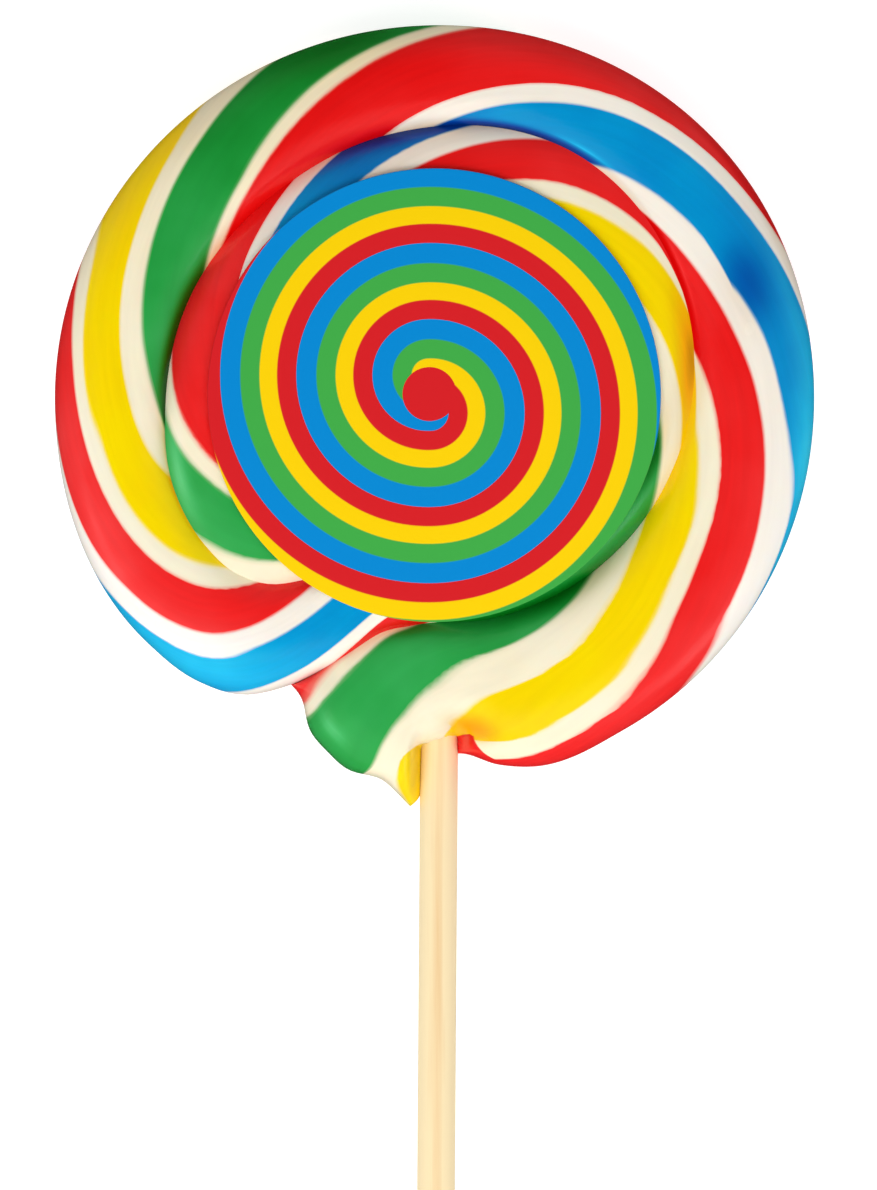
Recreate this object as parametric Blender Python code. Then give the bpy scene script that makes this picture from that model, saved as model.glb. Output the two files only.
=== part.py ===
"""A swirl lollipop, lying face up: one twisted rope of hard candy coiled flat and fused to itself,
a wooden stick pushed into its edge and a round paper label on its middle.

The origin is on the resting plane under the middle of the candy. The face is up, the stick points to -Y.
The rope is followed by its coil angle, in degrees anticlockwise from +X: the tail begins at TAIL_START on
the rim, and the angle keeps growing with each turn until the rope's inner end at COIL_END.
"""

import math

import bmesh
import bpy
import numpy as np

MM = 0.001
SHARP_ANGLE = math.radians(30.0)  # edges that turn more than this are shaded as edges
ROUNDED_OFF = 2.4  # exponent of the superellipse by which the tail's end and the lip over the stick round off

# Candy
CANDY_HEIGHT = 13.0 * MM  # the rope's crest over the resting plane
WAIST_HEIGHT = 5.8 * MM  # the rim's widest point
SHOULDER_TOP = 2.6  # exponent of the superellipse over the rope's top: 2 is round, more is flatter
SHOULDER_UNDER = 7.0  # the same under the rope, which was pressed on a slab
UNDER_FLATTEN = 1.03  # how far the slab cuts into the underside's curve
CREASE_TOP = 0.66  # height of the seam between two turns, as a share of the rise from waist to crest
CREASE_UNDER = 0.80  # the same for the seam on the underside, from waist to slab
CREASE_RUN_IN = 7.0  # degrees over which a seam opens at the tail's notch
CREASE_FADE = (270.0, 110.0)  # degrees before the inner end where the seams begin and finish closing up
TURN = 360.0
TAIL_START = 243.0
COIL_END = 1431.0
TAIL_SKEW = 23.5  # degrees by which the tail's oblique end leans from a radius
TAIL_SKEW_END = 300.0  # the coil angle where sections are radial again
TAIL_ROUNDING = 4.5  # degrees of coil over which the tail's end rounds off
TAIL_BULGE = 2.5 * MM  # how far the end face swells
TAIL_BULGE_AT = 0.57  # where it swells most, from the outer edge (0) to the inner one (1)
TAIL_BULGE_SPREAD = 0.27
TAIL_BULGE_FLATNESS = 4  # even; 2 is a bell, more is a plateau with steeper sides
TAIL_BULGE_FADE = 9.0  # degrees
TAIL_DIRECTION = math.radians(225.0)  # the way it swells, anticlockwise from +X

# The rope's outer edge, as (coil angle, radius in mm). Each turn's inner edge is the next turn's outer edge.
EDGE = (
    (266.5, 48.3), (267.6, 47.3), (269.0, 44.6), (271.0, 42.4), (274.0, 42.0), (280.0, 43.9),
    (285.0, 45.0), (300.0, 45.1), (360.0, 45.2), (400.0, 45.7), (450.0, 44.9), (540.0, 45.3),
    (580.0, 44.7), (590.0, 43.6), (597.0, 41.6), (603.0, 37.8), (610.0, 32.4), (616.0, 28.6),
    (624.0, 26.8), (645.0, 26.7), (670.0, 27.5), (700.0, 29.1), (740.0, 31.9), (780.0, 33.8),
    (820.0, 32.2), (845.0, 31.2), (880.0, 31.7), (900.0, 32.0), (918.0, 32.7), (932.0, 32.2),
    (941.0, 31.2), (948.0, 29.2), (955.0, 25.6), (965.0, 21.0), (978.0, 18.5), (1000.0, 17.4),
    (COIL_END, 0.0),
)  # fmt: skip

# Mesh of the candy
ROWS = 9  # strips across the rope, on its top and on its underside
FIRST_STEP = 0.8  # degrees of coil from the tail's end to the next section
STEP_GROWTH = 1.2
FINE_STEPS = 12
FINE_RUN = 30.0  # degrees of each turn that the growing steps cover
STEP = 6.0
EVEN_END = 330.0
LAST_STEP = 3.0
END_WEDGE = 50.0  # degrees of coil that one wedge spans where the rope runs out at the middle

# Stick
STICK_DIAMETER = 4.5 * MM
STICK_LENGTH = 150.0 * MM
STICK_TIP_Y = 8.0 * MM  # the end inside the candy
STICK_LEAN = math.radians(0.4)  # to -X at its free end
STICK_X_AT_LIP = 0.5 * MM
STICK_END_BEVEL = 0.4 * MM
STICK_SIDES = 32
GAP = 0.3 * MM

# Where the stick goes in, the candy's top folds down over it
LIP_Y = -40.3 * MM  # the lip's edge over the stick's axis
LIP_SLANT = 0.27  # how far it runs inward for each unit to the side
LIP_ROUNDING = 5.5 * MM
GROOVE_HALF_WIDTH = 3.0 * MM
GROOVE_FLATNESS = 6  # as for the bulge of the tail
FOLD_CENTRE = (3.6 * MM, -39.2 * MM)  # a dent beside the stick, in the rim's top
FOLD_SPREAD = 2.3 * MM
FOLD_DEPTH = 1.8 * MM

# Label
LABEL_RADIUS = 26.9 * MM
LABEL_THICKNESS = 0.4 * MM
LABEL_CENTRE = (-0.1 * MM, 0.7 * MM)
LABEL_SIDES = 96

# Looks, as linear colour and roughness
SUGAR = ((0.80, 0.02, 0.03), 0.2)
BIRCH = ((0.87, 0.72, 0.48), 0.6)
CARD = ((0.02, 0.25, 0.62), 0.35)


def clear_scene():
    """Starts from an empty scene."""
    for obj in list(bpy.data.objects):
        bpy.data.objects.remove(obj, do_unlink=True)


def material(name, colour, roughness):
    """A plain Principled material."""
    made = bpy.data.materials.new(name)
    made.use_nodes = True
    shader = made.node_tree.nodes["Principled BSDF"]
    shader.inputs["Base Color"].default_value = (*colour, 1.0)
    shader.inputs["Roughness"].default_value = roughness
    shader.inputs["Metallic"].default_value = 0.0
    return made


def add_object(name, mesh, finish):
    """Puts a mesh into the scene under its name, with its material if it has one."""
    obj = bpy.data.objects.new(name, mesh)
    bpy.context.scene.collection.objects.link(obj)
    if finish is not None:
        mesh.materials.append(finish)
    return obj


def ease(start, end, value):
    """0 before start, 1 after end, and a smooth rise between them."""
    x = np.clip((value - start) / (end - start), 0.0, 1.0)
    return x * x * (3.0 - 2.0 * x)


def smooth_through(knots, at):
    """A smooth curve through the knots, read at one value."""
    x, y = np.array(knots).T
    width = np.diff(x)
    slope = np.diff(y) / width
    tangent = np.empty_like(y)
    tangent[0], tangent[-1] = slope[0], slope[-1]
    tangent[1:-1] = (slope[:-1] * width[1:] + slope[1:] * width[:-1]) / (width[:-1] + width[1:])
    i = int(np.clip(np.searchsorted(x, at, side="right") - 1, 0, len(x) - 2))
    u = np.clip((at - x[i]) / width[i], 0.0, 1.0)
    rise = y[i + 1] - y[i]
    leave, arrive = width[i] * tangent[i], width[i] * tangent[i + 1]
    return y[i] + u * (leave + u * (3 * rise - 2 * leave - arrive + u * (leave + arrive - 2 * rise)))


def superellipse(x, exponent):
    """A quarter superellipse: 0 at x = 0, level at 1 from x = 1."""
    return (1.0 - (1.0 - min(max(x, 0.0), 1.0)) ** exponent) ** (1.0 / exponent)


def edge_point(angle):
    """The plan position of the rope's outer edge."""
    radius = smooth_through(EDGE, angle) * MM
    turned = math.radians(angle)
    return np.array((radius * math.cos(turned), radius * math.sin(turned)))


def seam_depth_share(angle):
    """How far the seam has opened at the tail's notch, and how much of its depth the middle leaves."""
    opened = ease(TAIL_START + TURN, TAIL_START + TURN + CREASE_RUN_IN, angle)
    return opened, ease(COIL_END - CREASE_FADE[1], COIL_END - CREASE_FADE[0], angle)


def seam_level(angle, crease):
    """The seam's level between the waist (0) and the crest (1)."""
    opened, kept = seam_depth_share(angle)
    return opened * (1.0 - (1.0 - crease) * kept)


def section_point(angle, across):
    """The plan position of a point on the rope, from its outer edge (across = 0) to its inner one (1)."""
    skew = TAIL_SKEW * (1.0 - ease(TAIL_START, TAIL_SKEW_END, angle))
    outer, inner = edge_point(angle + skew), edge_point(angle + TURN)
    swell = math.exp(-(((across - TAIL_BULGE_AT) / TAIL_BULGE_SPREAD) ** TAIL_BULGE_FLATNESS))
    swell *= TAIL_BULGE * math.exp(-(angle - TAIL_START) / TAIL_BULGE_FADE)
    ahead = np.array((math.cos(TAIL_DIRECTION), math.sin(TAIL_DIRECTION)))
    return outer + (inner - outer) * across + ahead * swell


def rope_profile(angle, across, crease, shoulder):
    """The rope's fullness at a point, from 0 at the waist to 1 at the crest."""
    floor = seam_level(angle, crease) * (1.0 - across) + seam_level(angle + TURN, crease) * across
    arch = (1.0 - abs(2.0 * across - 1.0) ** shoulder) ** (1.0 / shoulder)
    end = superellipse((angle - TAIL_START) / TAIL_ROUNDING, ROUNDED_OFF)
    return (floor + (1.0 - floor) * arch) * end


def stick_offset(x, y):
    """The distance of a plan point from the stick's axis."""
    return x - STICK_X_AT_LIP - math.tan(STICK_LEAN) * (y - LIP_Y)


def folded_over_stick(x, y, z):
    """Lowers the top surface where it folds down onto the stick."""
    aside = stick_offset(x, y)
    inward = y - LIP_Y - LIP_SLANT * aside
    rise = superellipse(inward / LIP_ROUNDING, ROUNDED_OFF)
    lip = WAIST_HEIGHT + (CANDY_HEIGHT - WAIST_HEIGHT) * rise
    held = math.exp(-((aside / GROOVE_HALF_WIDTH) ** GROOVE_FLATNESS)) if y < 0 else 0.0
    z += (min(z, lip) - z) * held
    spread = ((x - FOLD_CENTRE[0]) ** 2 + (y - FOLD_CENTRE[1]) ** 2) / FOLD_SPREAD**2
    fold = FOLD_DEPTH * math.exp(-spread)
    return WAIST_HEIGHT + (z - WAIST_HEIGHT) * (1.0 - fold / (CANDY_HEIGHT - WAIST_HEIGHT))


def top_height(angle, across, x, y):
    """The height of the candy's face at a point."""
    full = rope_profile(angle, across, CREASE_TOP, SHOULDER_TOP)
    return folded_over_stick(x, y, WAIST_HEIGHT + (CANDY_HEIGHT - WAIST_HEIGHT) * full)


def under_height(angle, across):
    """The height of its underside, which the slab leaves flat."""
    full = rope_profile(angle, across, CREASE_UNDER, SHOULDER_UNDER)
    return max(0.0, WAIST_HEIGHT * (1.0 - UNDER_FLATTEN * full))


def section_angles():
    """Coil angles of the sections. Every turn has the same ones, so that neighbouring turns share a seam."""
    growing = FIRST_STEP * STEP_GROWTH ** np.arange(FINE_STEPS)
    growing *= FINE_RUN / growing.sum()
    even = np.full(round((EVEN_END - FINE_RUN) / STEP), STEP)
    closing = np.full(round((TURN - EVEN_END) / LAST_STEP), LAST_STEP)
    within = np.cumsum(np.concatenate(([0.0], growing, even, closing)))[:-1]
    turns = math.ceil((COIL_END - TAIL_START) / TURN)
    angles = [TAIL_START + TURN * turn + part for turn in range(turns) for part in within]
    return [angle for angle in angles if angle < COIL_END - END_WEDGE] + [COIL_END], len(within)


def candy_mesh():
    """Two sheets, the top and the underside, joined along the free rim and along the tail's end."""
    angles, per_turn = section_angles()
    last = len(angles) - 1
    across = [0.5 - 0.5 * math.cos(math.pi * row / ROWS) for row in range(ROWS + 1)]
    bm = bmesh.new()
    made = {}

    def vertex(sheet, column, row):
        if row == ROWS:
            column, row = column + per_turn, 0
        if column >= last:
            column, row = last, 0
        shared = column == 0 or (row == 0 and column <= per_turn)
        key = ("both" if shared else sheet, column, row)
        if key not in made:
            angle, v = angles[column], across[row]
            x, y = section_point(angle, v) if column < last else (0.0, 0.0)
            if shared:
                z = WAIST_HEIGHT
            elif sheet == "top":
                z = top_height(angle, v, x, y)
            else:
                z = under_height(angle, v)
            made[key] = bm.verts.new((x, y, z))
        return made[key]

    for sheet in ("top", "under"):
        for column in range(last):
            for row in range(ROWS):
                corners = [(column, row), (column + 1, row), (column + 1, row + 1), (column, row + 1)]
                if sheet == "under":
                    corners.reverse()
                ring = list(dict.fromkeys(vertex(sheet, *corner) for corner in corners))
                if len(ring) > 2:
                    bm.faces.new(ring)
    mesh = bpy.data.meshes.new("candy")
    bm.to_mesh(mesh)
    bm.free()
    mesh.shade_smooth()
    return mesh


def rod_mesh(name, radius, length, sides, bevel=0.0):
    """A round rod along Y, from the origin to -Y."""
    bm = bmesh.new()
    bmesh.ops.create_cone(bm, cap_ends=True, segments=sides, radius1=radius, radius2=radius, depth=length)
    if bevel:
        ends = [e for e in bm.edges if len({round(v.co.z, 6) for v in e.verts}) == 1]
        bmesh.ops.bevel(bm, geom=ends, offset=bevel, segments=2, profile=0.5, affect="EDGES")
    turned = [(v, (v.co.x, v.co.z - length / 2.0, -v.co.y)) for v in bm.verts]
    for v, place in turned:
        v.co = place
    bmesh.ops.recalc_face_normals(bm, faces=bm.faces)
    mesh = bpy.data.meshes.new(name)
    bm.to_mesh(mesh)
    bm.free()
    mesh.shade_smooth()
    mesh.set_sharp_from_angle(angle=SHARP_ANGLE)
    return mesh


def along_stick(obj, tip_y):
    """Lays a rod on the stick's axis with its inner end at tip_y."""
    obj.location = (STICK_X_AT_LIP + math.tan(STICK_LEAN) * (tip_y - LIP_Y), tip_y, WAIST_HEIGHT)
    obj.rotation_euler = (0.0, 0.0, -STICK_LEAN)
    return obj


def build_candy():
    """The coiled rope, with the bore that the stick sits in."""
    candy = add_object("candy", candy_mesh(), material("sugar", *SUGAR))
    hole = rod_mesh("stick_hole", STICK_DIAMETER / 2.0 + GAP, STICK_LENGTH, STICK_SIDES)
    cutter = along_stick(add_object("stick_hole", hole, None), STICK_TIP_Y + GAP)
    cutter.hide_render = True
    cutter.display_type = "WIRE"
    bore = candy.modifiers.new("stick_hole", "BOOLEAN")
    bore.operation = "DIFFERENCE"
    bore.solver = "EXACT"
    bore.object = cutter
    return candy


def build_stick():
    """The stick, its ends bevelled all round."""
    rod = rod_mesh("stick", STICK_DIAMETER / 2.0, STICK_LENGTH, STICK_SIDES, STICK_END_BEVEL)
    return along_stick(add_object("stick", rod, material("birch", *BIRCH)), STICK_TIP_Y)


def build_label():
    """The flat disc that rests on the candy's crest."""
    bm = bmesh.new()
    disc = {"radius1": LABEL_RADIUS, "radius2": LABEL_RADIUS, "depth": LABEL_THICKNESS}
    bmesh.ops.create_cone(bm, cap_ends=True, segments=LABEL_SIDES, **disc)
    mesh = bpy.data.meshes.new("label")
    bm.to_mesh(mesh)
    bm.free()
    label = add_object("label", mesh, material("card", *CARD))
    label.location = (*LABEL_CENTRE, CANDY_HEIGHT + GAP + LABEL_THICKNESS / 2.0)
    return label


clear_scene()
build_candy()
build_stick()
build_label()
bpy.context.view_layer.update()
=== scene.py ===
"""Looks of the swirl lollipop: striped hard candy coiled from one twisted rope, birch stick, printed label.

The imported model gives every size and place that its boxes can. The rope is followed by its coil angle, in
degrees anticlockwise from +X, which grows from the tail on the rim to the rope's inner end at the middle.
Across the rope, 0 is the edge that faces out and 1 the one that faces in.
"""

import logging
import math
from collections.abc import Callable, Sequence
from dataclasses import dataclass
from enum import Enum

import bpy
import numpy as np
from mathutils import Matrix, Vector


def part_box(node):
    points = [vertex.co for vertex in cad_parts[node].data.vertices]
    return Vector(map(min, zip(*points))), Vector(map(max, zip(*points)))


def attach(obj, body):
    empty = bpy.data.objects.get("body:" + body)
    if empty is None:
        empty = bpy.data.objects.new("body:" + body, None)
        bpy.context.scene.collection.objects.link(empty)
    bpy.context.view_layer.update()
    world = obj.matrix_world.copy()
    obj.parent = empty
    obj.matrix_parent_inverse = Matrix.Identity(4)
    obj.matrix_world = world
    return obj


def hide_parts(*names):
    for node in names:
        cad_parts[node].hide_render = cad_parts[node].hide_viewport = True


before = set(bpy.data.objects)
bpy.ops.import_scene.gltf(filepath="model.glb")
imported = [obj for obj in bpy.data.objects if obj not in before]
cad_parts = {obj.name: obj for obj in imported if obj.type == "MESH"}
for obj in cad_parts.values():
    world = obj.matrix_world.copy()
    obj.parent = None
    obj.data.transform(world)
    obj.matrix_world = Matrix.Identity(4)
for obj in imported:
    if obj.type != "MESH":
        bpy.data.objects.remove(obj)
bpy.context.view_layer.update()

MM = 0.001
TURN = 360.0

Knots = Sequence[tuple[float, float]]
Colour = tuple[float, float, float]
Value = object  # a Field, an output socket or a plain value

log = logging.getLogger("lollipop")


def linear(srgb: Sequence[float]) -> Colour:
    """Turns an 8-bit sRGB colour into linear light.

    Args:
        srgb: Red, green and blue from 0 to 255.

    Returns:
        Red, green and blue from 0 to 1.
    """
    shares = (c / 255.0 for c in srgb)
    return tuple(c / 12.92 if c <= 0.04045 else ((c + 0.055) / 1.055) ** 2.4 for c in shares)


def between(first: Colour, second: Colour, share: float) -> Colour:
    """A colour on the way from the first to the second."""
    return tuple(a + (b - a) * share for a, b in zip(first, second))


def ease(start: float, end: float, value: np.ndarray) -> np.ndarray:
    """0 before start, 1 after end, and a smooth rise between them."""
    x = np.clip((value - start) / (end - start), 0.0, 1.0)
    return x * x * (3.0 - 2.0 * x)


def smooth_through(knots: Knots, at: np.ndarray) -> np.ndarray:
    """Reads a smooth curve through knots.

    Args:
        knots: Pairs of where and what, in order.
        at: Where to read the curve.

    Returns:
        The curve's value at each place.
    """
    x, y = np.array(knots, float).T
    width = np.diff(x)
    slope = np.diff(y) / width
    middle = (slope[:-1] * width[1:] + slope[1:] * width[:-1]) / (width[:-1] + width[1:])
    tangent = np.concatenate((slope[:1], middle, slope[-1:]))
    i = np.clip(np.searchsorted(x, at, side="right") - 1, 0, len(x) - 2)
    u = np.clip((at - x[i]) / width[i], 0.0, 1.0)
    rise = y[i + 1] - y[i]
    leave, arrive = width[i] * tangent[i], width[i] * tangent[i + 1]
    return y[i] + u * (leave + u * (3 * rise - 2 * leave - arrive + u * (leave + arrive - 2 * rise)))


def operator(operation: str, swapped: bool = False) -> Callable:
    """Makes one of Field's operators out of what a Math node works out.

    Args:
        operation: The Math node's operation.
        swapped: Whether the field is the node's second value.

    Returns:
        The operator.
    """

    def work_out(field: "Field", other: Value) -> "Field":
        """The result for a field and another value."""
        pair = (other, field) if swapped else (field, other)
        return field.tree.math(operation, *pair)

    return work_out


class Field:
    """A number that flows through a node tree, so that sums of nodes can be written as plain formulas."""

    def __init__(self, tree: "Tree", socket: bpy.types.NodeSocket) -> None:
        """Wraps an output socket of one of the tree's nodes."""
        self.tree = tree
        self.socket = socket

    def math(self, operation: str, *others: Value) -> "Field":
        """The result of a Math node, with this number as its first value."""
        return self.tree.math(operation, self, *others)

    __add__ = __radd__ = operator("ADD")
    __sub__ = operator("SUBTRACT")
    __rsub__ = operator("SUBTRACT", swapped=True)
    __mul__ = __rmul__ = operator("MULTIPLY")
    __truediv__ = operator("DIVIDE")
    __rtruediv__ = operator("DIVIDE", swapped=True)
    __pow__ = operator("POWER")

    def squared(self) -> "Field":
        """The square."""
        return self * self

    def clamped(self) -> "Field":
        """The number kept from 0 to 1."""
        return self.math("MAXIMUM", 0.0).math("MINIMUM", 1.0)

    def towards(self, other: Value, share: Value) -> "Field":
        """The number on its way to another one."""
        return self + (other - self) * share


class Tree:
    """A shader or geometry tree that is being written."""

    def __init__(self, tree: bpy.types.NodeTree) -> None:
        """Wraps an existing tree."""
        self.tree = tree

    def plug(self, target: bpy.types.NodeSocket, value: Value) -> None:
        """Links a field or a socket to an input, or sets the input to a plain value.

        Args:
            target: The input.
            value: What it gets.
        """
        source = value.socket if isinstance(value, Field) else value
        if isinstance(source, bpy.types.NodeSocket):
            self.tree.links.new(source, target)
        else:
            target.default_value = source

    def add(self, kind: str, inputs: dict[str, Value] | None = None, **settings: object) -> bpy.types.Node:
        """Adds a node.

        Args:
            kind: The node's type.
            inputs: Values for its inputs, by name.
            settings: Values for its own properties, which are set first, because they decide which inputs
                it has.

        Returns:
            The new node.
        """
        node = self.tree.nodes.new(kind)
        for name, value in settings.items():
            setattr(node, name, value)
        for name, value in (inputs or {}).items():
            self.plug(next(s for s in node.inputs if s.name == name and s.enabled), value)
        return node

    def field(self, kind: str, inputs: dict[str, Value] | None = None, **settings: object) -> Field:
        """Adds a node, as add does, and takes its first output."""
        node = self.add(kind, inputs, **settings)
        return Field(self, next(out for out in node.outputs if out.enabled))

    def math(self, operation: str, *values: Value) -> Field:
        """Adds a Math node.

        Args:
            operation: What it works out.
            values: Its inputs in order.

        Returns:
            Its result.
        """
        node = self.add("ShaderNodeMath", operation=operation)
        for target, value in zip(node.inputs, values):
            self.plug(target, value)
        return Field(self, node.outputs[0])

    def split(self, vector: Value) -> tuple[Field, Field, Field]:
        """The three parts of a vector."""
        node = self.add("ShaderNodeSeparateXYZ", {"Vector": vector})
        return tuple(Field(self, out) for out in node.outputs)

    def join(self, x: Value = 0.0, y: Value = 0.0, z: Value = 0.0) -> Field:
        """A vector of three parts."""
        return self.field("ShaderNodeCombineXYZ", {"X": x, "Y": y, "Z": z})

    def noise(self, vector: Value, scale: float, detail: float = 2.0) -> Field:
        """Smooth noise, about 0.5 on average."""
        return self.field("ShaderNodeTexNoise", {"Vector": vector, "Scale": scale, "Detail": detail})

    def ramp(self, at: Value, stops: Sequence[tuple[float, Colour]]) -> Field:
        """Adds a ramp of colours.

        Args:
            at: Where it is read.
            stops: Places and colours, in order.

        Returns:
            The colour read.
        """
        node = self.add("ShaderNodeValToRGB", {"Fac": at})
        elements = node.color_ramp.elements
        elements[0].position, elements[1].position = stops[0][0], stops[-1][0]
        for place, _ in stops[1:-1]:
            elements.new(place)
        for element, (_, colour) in zip(elements, stops):
            element.color = (*colour, 1.0)
        return Field(self, node.outputs["Color"])

    def mix(self, share: Value, first: Value, second: Value) -> Field:
        """A colour mixed from two."""
        return self.field("ShaderNodeMix", {"Factor": share, "A": first, "B": second}, data_type="RGBA")


class Paint(Tree):
    """A material that is being written."""

    def __init__(self, name: str) -> None:
        """Makes a material with a Principled shader.

        Args:
            name: The material's name.
        """
        self.material = bpy.data.materials.new(name)
        self.material.use_nodes = True
        super().__init__(self.material.node_tree)
        self.shader = self.tree.nodes["Principled BSDF"]

    def place(self) -> Field:
        """The place on the piece, in metres."""
        return Field(self, self.add("ShaderNodeTexCoord").outputs["Object"])

    def attribute(self, name: str, output: str = "Fac") -> Field:
        """One of the piece's attributes."""
        return Field(self, self.add("ShaderNodeAttribute", attribute_name=name).outputs[output])

    def drive(self, **inputs: Value) -> None:
        """Gives the shader what the nodes work out, and its constants.

        Args:
            inputs: Fields and plain values by the shader's input, with _ for a space.
        """
        for name, value in inputs.items():
            self.plug(self.shader.inputs[name.replace("_", " ")], value)

    def bump(self, height: Value, depth: float, strength: float = 0.3) -> None:
        """Lets a height shape the surface's fine relief.

        Args:
            height: The relief, from 0 to 1.
            depth: Its depth in metres.
            strength: How much of it shows.
        """
        relief = self.add("ShaderNodeBump", {"Height": height, "Strength": strength, "Distance": depth})
        self.plug(self.shader.inputs["Normal"], relief.outputs["Normal"])


def put(name: str, data: bpy.types.ID) -> bpy.types.Object:
    """Puts an object in the scene.

    Args:
        name: Its name.
        data: The mesh, light or camera that it shows.

    Returns:
        The object.
    """
    made = bpy.data.objects.new(name, data)
    bpy.context.scene.collection.objects.link(made)
    return made


def new_piece(name: str, mesh: bpy.types.Mesh, node: str) -> bpy.types.Object:
    """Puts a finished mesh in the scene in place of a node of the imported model.

    Args:
        name: The piece's name.
        mesh: Its mesh, already in place.
        node: The node that it stands for.

    Returns:
        The piece.
    """
    piece = put(name, mesh)
    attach(piece, "root")
    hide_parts(node)
    log.info("%s: %d faces", name, len(mesh.polygons))
    return piece


def turned_mesh(name: str, rings: Sequence[tuple[float, float]], sides: int) -> bpy.types.Mesh:
    """Turns a profile round Z.

    Args:
        name: The mesh's name.
        rings: Radius and height of each ring, from the bottom up.
        sides: The rings' sides.

    Returns:
        A closed mesh, with a point in the middle of each end.
    """
    turn = np.linspace(0.0, 2.0 * math.pi, sides, endpoint=False)
    points = [(r * math.cos(a), r * math.sin(a), z) for r, z in rings for a in turn]
    points += [(0.0, 0.0, rings[0][1]), (0.0, 0.0, rings[-1][1])]
    bottom, top = len(points) - 2, len(points) - 1
    last = (len(rings) - 1) * sides
    faces = []
    for i in range(sides):
        j = (i + 1) % sides
        faces.extend((k + i, k + j, k + sides + j, k + sides + i) for k in range(0, last, sides))
        faces.extend(((bottom, j, i), (top, last + i, last + j)))
    mesh = bpy.data.meshes.new(name)
    mesh.from_pydata(points, [], faces)
    mesh.shade_smooth()
    return mesh


def read(data: Sequence, name: str, width: int = 1, kind: type = np.float32) -> np.ndarray:
    """Reads one property of all of a mesh's points, corners or faces.

    Args:
        data: The mesh's items.
        name: The property.
        width: How many numbers each item has.
        kind: The type that they are kept in.

    Returns:
        The numbers, in a row for each item where it has several.
    """
    numbers = np.empty(len(data) * width, kind)
    data.foreach_get(name, numbers)
    return numbers.reshape(-1, width) if width > 1 else numbers


class Tint(Enum):
    """Colours as 8-bit sRGB."""

    @property
    def linear(self) -> Colour:
        """The colour in linear light."""
        return linear(self.value)


class Dye(Tint):
    """Colours of the sugar."""

    RED = (241, 34, 34)
    YELLOW = (255, 219, 0)
    GREEN = (47, 168, 78)
    BLUE = (2, 150, 211)
    CREAM = (253, 241, 212)
    MILK = (253, 243, 230)

    @property
    def pale(self) -> bool:
        """Whether it is a plain sugar colour, which the dyes beside it stain."""
        return self in (Dye.CREAM, Dye.MILK)


class Ink(Tint):
    """Colours of the label's print."""

    BLUE = (2, 139, 214)
    GREEN = (66, 174, 73)
    YELLOW = (255, 213, 4)
    RED = (218, 32, 38)
    PAPER = (250, 246, 236)


@dataclass(frozen=True)
class Smear:
    """A place near the rim where the fold over the stick dragged one colour across the stripes.

    It lies between two curves of knots, each the share across the rope and the coil angle. Where the curves
    cross, it ends.
    """

    dye: Dye
    start: Knots
    end: Knots
    soft_edge: float = 0.5  # degrees
    farthest: float = 8.0  # degrees from its edge, past which the map says no more

    def inside(self, coil: np.ndarray, across: np.ndarray) -> np.ndarray:
        """Measures how far inside the smear points lie.

        Args:
            coil: Their coil angles.
            across: Their shares across the rope.

        Returns:
            Degrees of coil to the smear's nearer edge, below zero outside.
        """
        begun = coil - smooth_through(self.start, across)
        left = smooth_through(self.end, across) - coil
        return np.clip(np.minimum(begun, left), -self.farthest, self.farthest)


@dataclass(frozen=True)
class PaintedShading:
    """A patch of painted shade or painted highlight on the rope, which makes the dye look deeper and darker,
    or paler. At the outer turn's top it also stands for a deeper green dye.
    """

    coil: float
    across: float
    reach: float  # degrees of coil
    width: float  # share across the rope
    change: float  # 1 doubles how deep the dye looks, as painted shade, and -0.5 halves it, as painted highlight

    def at(self, coil: np.ndarray, across: np.ndarray) -> np.ndarray:
        """The change at each point."""
        apart = ((coil - self.coil) / self.reach) ** 2 + ((across - self.across) / self.width) ** 2
        return self.change * np.exp(-apart)


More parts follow.
